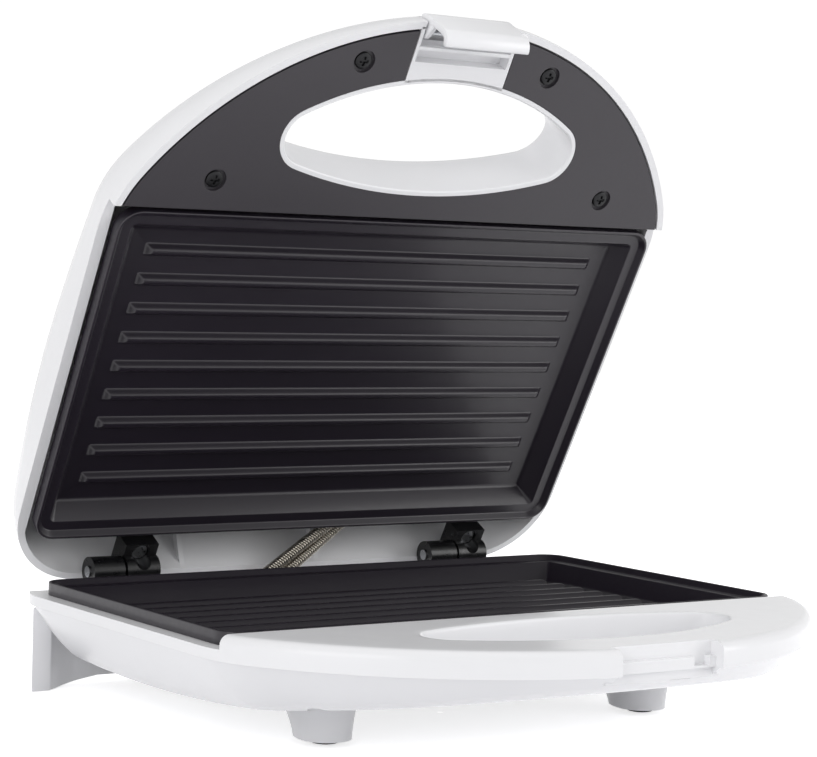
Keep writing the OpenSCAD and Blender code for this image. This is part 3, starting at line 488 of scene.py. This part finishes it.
def ledge(side):
    """Ledge beside the upper plate: from the wall's middle to a gap before the plate's skirt."""
    p = inset(ring, wall / 2)[:, :2]
    p = p[(p[:, 0] * side > 0) & (p[:, 1] > deck_back) & (p[:, 1] < lip_in)]
    x = side * (rim_w / 2 + skirt_gap)
    p = np.concatenate([p[np.argsort(p[:, 1])], [[x, lip_in], [x, deck_back]]])
    return prism(p, 0, lip_step + wall, "z")


gusset = [(tail_reach - 1.6, 5), (tail_reach - 4.5, 12.7), (tail_reach - 13, 20.5), (tail_reach - 16.5, 20.5)]
gussets = [prism(gusset, x - gusset_t / 2, x + gusset_t / 2, "x") for x in gusset_x]
latch_room = [block(-slot, slot, block_y - 20, block_y, -1, slot_z),
              rod((0, *pivot), "x", latch_r + 0.6, 2 * slot),
              block(-slot, slot, pivot[0] - 20, pivot[0], -1, slot_front_z)]
lens_holes = [rod((side * lens_at[0], lens_at[1], 25), "z", lens_hole_r, 30) for side in (1, -1)]
lid = shape("lid_shell", [skin(lid_path, loop=True)], plus=[ledge(-1), ledge(1)] + gussets,
            minus=[over_lip] + latch_room + lens_holes)
piece(lid, on_lid, "lid", white_abs, "white_plastic", "lid_shell")

housing = shape("latch_housing",
                [block(-block_hw, block_hw, -nose_reach + housing_y[0],
                       -nose_reach + grip_w + housing_y[1], 0, housing_h)],
                minus=[prism(hole, -5, 20, "z")] + latch_room)
piece(housing, on_lid, "lid", white_abs, "white_plastic")
bar = shape("latch_cross_bar",
            [block(-slot_hw + bar_gap, slot_hw - bar_gap, -nose_reach + bar_y[0], -nose_reach + bar_y[1],
                   0, bar_h)])
piece(bar, on_lid, "lid", white_abs, "white_plastic", bevel=0.3)

# The trim has two layers. The top one stops short of the lid's wall, and the lower one reaches out under that
# gap, so the gap shows the trim's dark colour. That dark backing is painted shade that stands in for the deep
# shadow in the gap, and its step also casts a little real shade.
trim = shape("handle_trim", [prism(inset(ring, wall + 0.8), 0, trim_t, "z")],
             plus=[prism(inset(ring, wall + 0.1), trim_backing_z, trim_t, "z")],
             minus=[block(-far, far, deck_back, 100, -5, 10), over_lip,
                    prism(opening_pt(hole, opening_wall + 0.15), -5, 20, "z"),
                    block(-block_hw - trim_fit, block_hw + trim_fit, -nose_reach - 5,
                          -nose_reach + grip_w + 5, -5, 9)]
             + [rod((s * x, y, 0), "z", 4, 2.4) for x, y in trim_screw_at for s in (-1, 1)])
piece(trim, on_lid, "lid", dark_trim, "dark_trim", "handle_trim", crease=14, bevel=0.25)


# ---------------------------------------------------------------- screws
def phillips(at, r, h, out=1):
    """Pan head with a cross recess: a dome whose height drops inside a plus sign. out is 1 for up, -1 for
    down."""
    rad = np.concatenate([np.linspace(0.02, 0.62, 12), np.linspace(0.7, 1, 7)]) * r
    a = np.linspace(0, 2 * math.pi, 72, endpoint=False)
    x, y = rad[:, None] * np.cos(a), rad[:, None] * np.sin(a)
    near = np.minimum(np.abs(x), np.abs(y))
    far = np.maximum(np.abs(x), np.abs(y))
    cross = np.clip((0.17 * r - near) / (0.05 * r), 0, 1) * np.clip((0.56 * r - far) / (0.08 * r), 0, 1)
    z = h * (0.55 + 0.45 * np.sqrt(np.clip(1 - (rad[:, None] / r) ** 2.4, 0, 1))) - 0.62 * h * cross
    top = np.stack([x, y, z], -1)
    side = np.stack([r * np.cos(a), r * np.sin(a), 0 * a], -1)[None]
    p = np.concatenate([top, side]) * [1, 1, out]
    v, f = skin(p)
    return v + np.asarray(at, float), f


def shank(at, r, l):
    """A screw's shank: a cylinder that tapers over its last tenth."""
    return turned([(r, 0), (r, l * 0.9), (r * 0.6, l)], at, n=24)


heads = [phillips((s * x, y, screw_seat_z), head_r, 1.1, -1) for x, y in trim_screw_at for s in (-1, 1)]
shanks = [shank((s * x, y, screw_seat_z), screw_r, 5.2) for x, y in trim_screw_at for s in (-1, 1)]
trim_screws = shape("trim_screws", heads + shanks)
piece(trim_screws, on_lid, "lid", black_screw, "black_screw", "trim_screws", crease=40)


# ---------------------------------------------------------------- cooking plates
def rect_ring(d, z, k=10):
    """Plate's outline inset by d at height z: a rectangle with round corners, k points to each corner and
    7 to each side."""
    w, h, r = rim_w / 2 - d, rim_d / 2 - d, max(rim_corner_r - d, 0.4)
    p = []
    for cx, cy, a0 in ((1, -1, -90), (1, 1, 0), (-1, 1, 90), (-1, -1, 180)):
        a = np.radians(a0 + np.linspace(0, 90, k))
        p.append(np.stack([cx * (w - r) + r * np.cos(a), -rim_d / 2 + cy * (h - r) + r * np.sin(a)], 1))
    p = np.concatenate(p)
    s = np.linspace(0, 1, 9)[1:-1, None]
    out = []
    for i in range(0, 4 * k, k):
        out += [p[i:i + k], mix(p[i + k - 1], p[(i + k) % len(p)], s)]
    return put(np.concatenate(out), z)


plate_path = rounded([(10.4, -floor_d), (6.3, -2.6), (5.8, -2.2), (2.4, -2.2), (0.9, 0), (0, 0),
                      (0, -deck_step), (1.8, -deck_step), (2.4, 0.3 - deck_step), (5, 0.3 - deck_step),
                      (9, -under_z)], 0.4)
floor_path = rounded([(26, -floor_d), (10.4, -floor_d), (6.3, -2.6)], 1.1)[:-1]


def rib(y):
    """Rib: at each point its height is a soft least of a flat top, two side slopes and two end slopes, and it
    runs into the floor through a soft fillet."""
    l, w, t = rib_len / 2, rib_w / 2, rib_top_w / 2
    ends = np.linspace(0, 4.4, 24)
    gx = np.concatenate([ends - l - 0.9, np.linspace(-80, 80, 9), l + 0.9 - ends[::-1]])
    gy = np.linspace(-w - 0.9, w + 0.9, 37)
    x, v = np.meshgrid(gx, gy, indexing="ij")
    slopes = np.stack([0 * x + rib_h, (w - np.abs(v)) / (w - t) * rib_h, (l - np.abs(x)) / 1.8 * rib_h])
    z = -np.log(np.exp(-slopes * 2.6).sum(0)) / 2.6
    z = np.log(1 + np.exp(z * 3.6)) / 3.6 - 0.04
    p = np.stack([x, v + y, z - floor_d], -1)
    low = np.stack([gx, 0 * gx + y, 0 * gx - floor_d - 0.5], -1)[:, None]
    return skin(np.concatenate([p, low], 1))


def cooking_plate(name):
    """Plate: rings of its outline from the floor over the rim to the skirt, with the ribs along its width."""
    rings = [rect_ring(d, z) for d, z in np.concatenate([floor_path, plate_path[5:]])]
    return shape(name, [skin(rings)] + [rib(-rib_first - k * rib_pitch) for k in range(rib_count)])


piece(cooking_plate("lower_plate"), on_base, "base", nonstick, "nonstick_plate", "lower_plate", crease=50)
upper = cooking_plate("upper_plate")
piece(upper, lambda v: on_lid(v * [1, 1, -1]), "lid", nonstick, "nonstick_plate", "upper_plate", crease=50)
upper.data.flip_normals()

# ---------------------------------------------------------------- base
frame_path = [put(inset(ring, 0), -band_h)]
for a in np.linspace(0, 90, 8):
    c, s = math.cos(math.radians(a)), math.sin(math.radians(a))
    frame_path.append(put(inset(ring, deck_edge_r * (1 - c)), -deck_edge_r * (1 - s)))
flat = frame_path[-1][:, :2]
frame_path += [put(mix(flat, opening_pt(ring, 1), s), 0) for s in np.linspace(0.15, 0.95, 6)]
for a in np.linspace(0, 90, 5):
    c, s = math.cos(math.radians(a)), math.sin(math.radians(a))
    frame_path.append(put(opening_pt(ring, 1 - s), -1 + c))
frame_path.append(put(edge, -band_h))
shelf_cut_y = 6
pit_hw, pit_hd = rim_w / 2 - ledge_in, rim_d / 2 - ledge_in
over_ledge = block(-body_w, body_w, deck_back, 60, -deck_step, 30)
recess_y, side_slot = ledge_y + 2.5, (10.9, 16.9)
deck = shape("base_frame", [skin(frame_path, loop=True)],
             minus=[over_ledge, block(-far, far, shelf_cut_y, 60, -20, 30),
                    block(-pit_hw, pit_hw, -rim_d / 2 - pit_hd, -rim_d / 2 + pit_hd, -30, 30),
                    block(-slot_hw, slot_hw, recess_y - 20, recess_y, -4.5, 20),
                    block(-slot_hw, slot_hw, ledge_y - 20, ledge_y, -band_h - 1, 20),
                    block(*side_slot, recess_y - 20, recess_y, -band_h + 0.7, 20)])
piece(deck, on_base, "base", white_abs, "white_plastic", "base_frame")
shelf = shape("hinge_shelf", [prism(inset(ring, wall + belly_set + 2.2), *shelf_z, "z")],
              minus=[block(-far, far, -300, 0, -20, 20)])
piece(shelf, on_base, "base", white_abs, "white_plastic", bevel=0.3)

tub_path = ([belly_side(ring, i, 0) for i in np.linspace(0, 1, 16)]
            + [belly_flat(ring, s, 1, 0) for s in np.linspace(0.1, 1, 10)])
low = opening_pt(ring, 0)
tub_path += [put(low, belly_z(low[:, 1]) + 1.2), put(low, -band_h)]
tub_path.append(put(opening_pt(ring, opening_wall), -band_h))
tub_path += [belly_flat(ring, s, opening_wall, wall) for s in np.linspace(1, 0.1, 5)]
tub_path += [belly_side(ring, i, wall) for i in np.linspace(1, 0, 8)]
screw_wells = [(half_w - 29, -rim_d - 13.6), (half_w - 23, 8), (rim_w / 2 - 30, -20),
               (rim_w / 2 - 30, 19.4 - rim_d)]
tub = shape("base_tub", [skin(tub_path, loop=True)],
            minus=[block(-slot_hw, slot_hw, ledge_y - 20, ledge_y + 1.8, -band_h - 20, 10),
                   block(3, 11, ledge_y, ledge_y + 3.2, -band_h - 3.2, -band_h + 0.1)]
            + [rod((s * x, y, -rim_h), "z", head_r + 0.5, 2 * (rim_h + belly_at(x, y) + 4))
               for x, y in screw_wells for s in (-1, 1)])
piece(tub, on_base, "base", white_abs, "white_plastic", "base_tub")
latch_wall = shape("latch_wall", [block(-slot_hw - wall, slot_hw + wall, ledge_y + 1.7, ledge_y + 1.8 + wall,
                                        belly_at(0, ledge_y + 1.8) + 0.3, -band_h)])
piece(latch_wall, on_base, "base", white_abs, "white_plastic", bevel=0.3)


def foot(s):
    """Foot: a round pad seat that widens up to the belly and flares back along it."""
    a = np.linspace(0, 2 * math.pi, 64, endpoint=False)
    rows = []
    for t in np.linspace(0, 1, 14):
        z = mix(-rim_h + pad_h, belly_at(foot_x, -foot_y) + 2.5, t)
        r = 8.6 + 2 * t ** 1.5
        back = 5 + 11.5 * t ** 1.3
        y = np.sin(a) * r
        y = -foot_y + y + np.where(y > 0, back * np.sin(a), 0)
        rows.append(np.stack([s * (foot_x + np.cos(a) * r), y, 0 * a + z], 1))
    return skin([rows[0]] + rows)


feet = shape("feet", [foot(-1), foot(1)])
piece(feet, on_base, "base", white_abs, "white_plastic", crease=60)
pads = shape("foot_pad_domes", [turned([(0.05, 0), (3, 0.05), (4.3, 0.35), (4.9, 0.9), (5, pad_h + 0.8)],
                                       (s * foot_x, -foot_y, -rim_h), n=48) for s in (-1, 1)])
piece(pads, on_base, "base", pad_rubber, "pad_rubber", "foot_pads", crease=60)
arch = [(98, -rim_h), (80, -rim_h + 2.8), (-80, -rim_h + 2.8), (-98, -rim_h), (-98, -50), (98, -50)]
stand = shape("rear_stand", [prism(inset(ring, stand_in), -rim_h, stand_top, "z")],
              minus=[prism(inset(ring, stand_in + stand_t + 1.5), -60, 20, "z"),
                     block(-far, far, -300, 8, -60, 10), prism(arch, -10, 50, "y")])
piece(stand, on_base, "base", white_abs, "white_plastic", bevel=0.4)

# ---------------------------------------------------------------- latch
def arc_2d(centre, r, a0, a1, n):
    """Points of an arc about centre, n of them even in angle from a0 to a1 degrees."""
    return [(centre[0] + r * math.cos(t), centre[1] + r * math.sin(t))
            for t in np.radians(np.linspace(a0, a1, n))]


hook = (ledge_y - 0.8, hook_r - latch_drop)
hook_low = hook[1] - hook_r
flap = (arc_2d(pivot, latch_r, 138, 180, 10) + arc_2d(hook, hook_r, 180, 270, 12)
        + [(hook[0] + 0.4, hook_low + 0.3), (hook[0] + 0.4, hook_low + latch_t - 0.4),
           (hook[0], hook_low + latch_t)]
        + arc_2d(hook, hook_r - latch_t, 260, 180, 8) + arc_2d(pivot, latch_r - latch_t, 180, 138, 8))
flap_end = latch_hw - 2.4
# The webs stop at 55 degrees, so that the cross bar stays clear of them when the lever is lifted.
web = arc_2d(pivot, latch_r - 0.3, 55, 232, 30) + arc_2d(pivot, 2.3, 290, 370, 6)
webs = [prism(web, x - web_t / 2, x + web_t / 2, "x") for x in (1.2 - latch_hw, flap_end - 1.2)]
nub = turned([(1.5, -1), (1.5, 0.6), (1.1, 1.2), (0.1, 1.4)],
             (flap_end, pivot[0] - latch_r + latch_t / 2, hook[1] + 1), "x", 32)
latch = shape("latch", [prism(flap, -latch_hw, flap_end, "x"), nub] + webs)
piece(latch, on_lid, "latch_lever", white_abs, "white_plastic", "latch", bevel=0.25)


# ---------------------------------------------------------------- conduits
def coil(name, a, b, r=2.2, wire=0.5, pitch=1.08):
    """Close-wound spring: a round wire on a helix of that pitch along the straight from a to b."""
    a, b = np.array(a, float), np.array(b, float)
    ax = (b - a) / np.linalg.norm(b - a)
    u = np.cross(ax, [0, 1, 0])
    u /= np.linalg.norm(u)
    w = np.cross(ax, u)
    l = np.linalg.norm(b - a)
    turns = l / pitch
    t = np.linspace(0, 1, int(turns * 20))
    h = 2 * math.pi * turns * t
    rr = r - wire
    mid = a + np.outer(t * l, ax) + rr * (np.outer(np.cos(h), u) + np.outer(np.sin(h), w))
    out = np.outer(np.cos(h), u) + np.outer(np.sin(h), w)
    g = np.linspace(0, 2 * math.pi, 8, endpoint=False)
    p = mid[:, None] + wire * (np.cos(g)[None, :, None] * out[:, None] + np.sin(g)[None, :, None] * ax)
    return shape(name, [skin(p)])


conduit_ends = {"wire_conduit_left": ((-24.5, 11, -10.2), (29.5, 19, 20.5)),
                "wire_conduit_right": ((-14, 12.4, -10.2), (36.5, 23, 20.5))}
for name, (a, b) in conduit_ends.items():
    o = coil(name, a, b)
    carry(o, on_base)
    o.data.materials.append(spring)
    o.data.shade_smooth()
    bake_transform(o)
    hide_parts(name)

# ---------------------------------------------------------------- finishes of the other parts
finishes = {"tub_screws": zinc, "plate_screws": zinc, "cord_gland": white_abs,
            "lower_element": sheath, "upper_element": sheath, "lower_reflector": pan_steel,
            "upper_reflector": pan_steel, "lower_reflector_screws": zinc, "upper_reflector_screws": zinc,
            "thermostat": ceramic, "thermal_fuse": zinc, "terminal_block": ceramic, "lamp_holder": ceramic,
            "hinge_bracket_left": black_plastic, "hinge_bracket_right": black_plastic,
            "hinge_arm_left": black_plastic, "hinge_arm_right": black_plastic, "bracket_screws": zinc,
            "arm_screws": zinc, "hinge_pins": zinc, "latch_pin": zinc, "power_lens": lens_red,
            "ready_lens": lens_green}
for name, material in finishes.items():
    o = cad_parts[name]
    o.data.materials.clear()
    o.data.materials.append(material)

# ---------------------------------------------------------------- room and light
def seen_white(name, colour, lift):
    """Matt paint that the camera and reflections see lighter by lift, so that the room reads as white."""
    m = bpy.data.materials.new(name)
    m.use_nodes = True
    t = m.node_tree
    t.nodes.clear()
    path = add(t, "ShaderNodeLightPath")
    seen = add(t, "ShaderNodeMath", {0: (path, "Is Camera Ray"), 1: (path, "Is Glossy Ray")},
               operation="MAXIMUM")
    seen = add(t, "ShaderNodeMath", {0: (seen, "Value"), 1: (path, "Is Transmission Ray")},
               operation="MAXIMUM")
    matt = add(t, "ShaderNodeBsdfDiffuse", values={"Color": linear(colour)})
    glow = add(t, "ShaderNodeEmission", values={"Color": (1, 1, 1, 1), "Strength": lift})
    both = add(t, "ShaderNodeAddShader", {0: (matt, "BSDF"), 1: (glow, "Emission")})
    pick = add(t, "ShaderNodeMixShader", {0: (seen, "Value"), 1: (matt, "BSDF"), 2: (both, "Shader")})
    add(t, "ShaderNodeOutputMaterial", {"Surface": (pick, "Shader")})
    return m


a = np.linspace(0, 2 * math.pi, 96, endpoint=False)
floor = raw("floor", [skin(np.array([put(np.stack([r * np.cos(a), r * np.sin(a)], 1), -0.0002)
                                     for r in (3.0, 1.2, 0.5, 0.001)]), cap=False)])
floor.data.materials.append(seen_white("floor_paint", "#F0F0F2", 0.7))

world = bpy.data.worlds.new("studio")
bpy.context.scene.world = world
world.use_nodes = True
t = world.node_tree
path = add(t, "ShaderNodeLightPath")
plain = add(t, "ShaderNodeBackground", values={"Color": (1, 1, 1, 1), "Strength": 0.66})
white = add(t, "ShaderNodeBackground", values={"Color": (1, 1, 1, 1), "Strength": 1.02})
at = add(t, "ShaderNodeTexCoord")
up = add(t, "ShaderNodeSeparateXYZ", {"Vector": (at, "Generated")})
fall = add(t, "ShaderNodeMapRange", {"Value": (up, "Z")},
           {"From Min": 0.1, "From Max": 0.6, "To Min": 1.0, "To Max": 0.3})
mirrored = add(t, "ShaderNodeBackground", {"Strength": (fall, "Result")}, {"Color": (1, 1, 1, 1)})
seen = add(t, "ShaderNodeMath", {0: (path, "Is Camera Ray"), 1: (path, "Is Transmission Ray")},
           operation="MAXIMUM")
pick = add(t, "ShaderNodeMixShader", {0: (path, "Is Glossy Ray"), 1: (plain, "Background"),
                                      2: (mirrored, "Background")})
pick = add(t, "ShaderNodeMixShader", {0: (seen, "Value"), 1: (pick, "Shader"), 2: (white, "Background")})
t.links.new(pick.outputs["Shader"], t.nodes["World Output"].inputs["Surface"])


def soft_light(name, place, size, watts, target=(0, 0, 0.08)):
    """A rectangular lamp of that size in metres that looks at target and isn't seen itself."""
    data = bpy.data.lights.new(name, "AREA")
    data.shape, data.size, data.size_y, data.energy = "RECTANGLE", size[0], size[1], watts
    o = bpy.data.objects.new(name, data)
    o.location = place
    o.rotation_euler = (Vector(target) - Vector(place)).to_track_quat("-Z", "Y").to_euler()
    bpy.context.scene.collection.objects.link(o)
    o.visible_camera = False


soft_light("key", (1.0, -0.85, 0.4), (0.6, 0.7), 4.6)
soft_light("side", (-1.1, -0.6, 0.5), (0.7, 0.9), 4.4)
soft_light("top", (0.0, 0.0, 1.3), (1.0, 0.8), 1.5)
